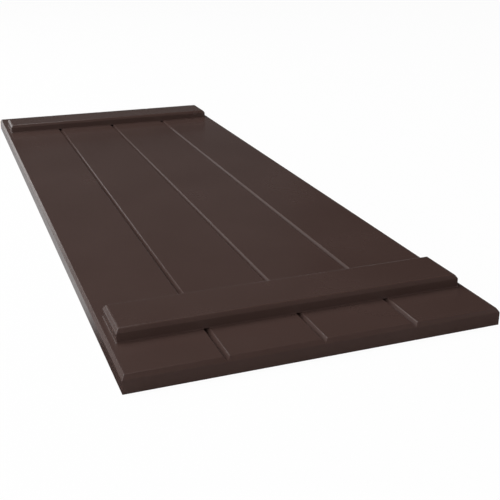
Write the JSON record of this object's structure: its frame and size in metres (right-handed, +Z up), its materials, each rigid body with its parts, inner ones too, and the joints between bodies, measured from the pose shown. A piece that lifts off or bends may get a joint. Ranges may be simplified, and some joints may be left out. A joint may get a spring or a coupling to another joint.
{
  "type": "board and batten shutter",
  "caption": "Flat exterior window shutter of V-jointed boards with bevelled edges, tied across the face by bevelled battens set in from both ends.",
  "frame": {"origin": "middle of the back, on the surface that the shutter lies on", "axes": "+X across the boards to the right, +Y along the boards towards the top end, +Z up out of the face"},
  "size_m": [0.546, 1.4986, 0.0444],
  "materials": {
    "satin_paint": "satin"
  },
  "bodies": {
    "root": {"left_outer_board": "satin_paint", "left_inner_board": "satin_paint", "right_inner_board": "satin_paint", "right_outer_board": "satin_paint", "bottom_batten": "satin_paint", "top_batten": "satin_paint"}
  },
  "joints": []
}
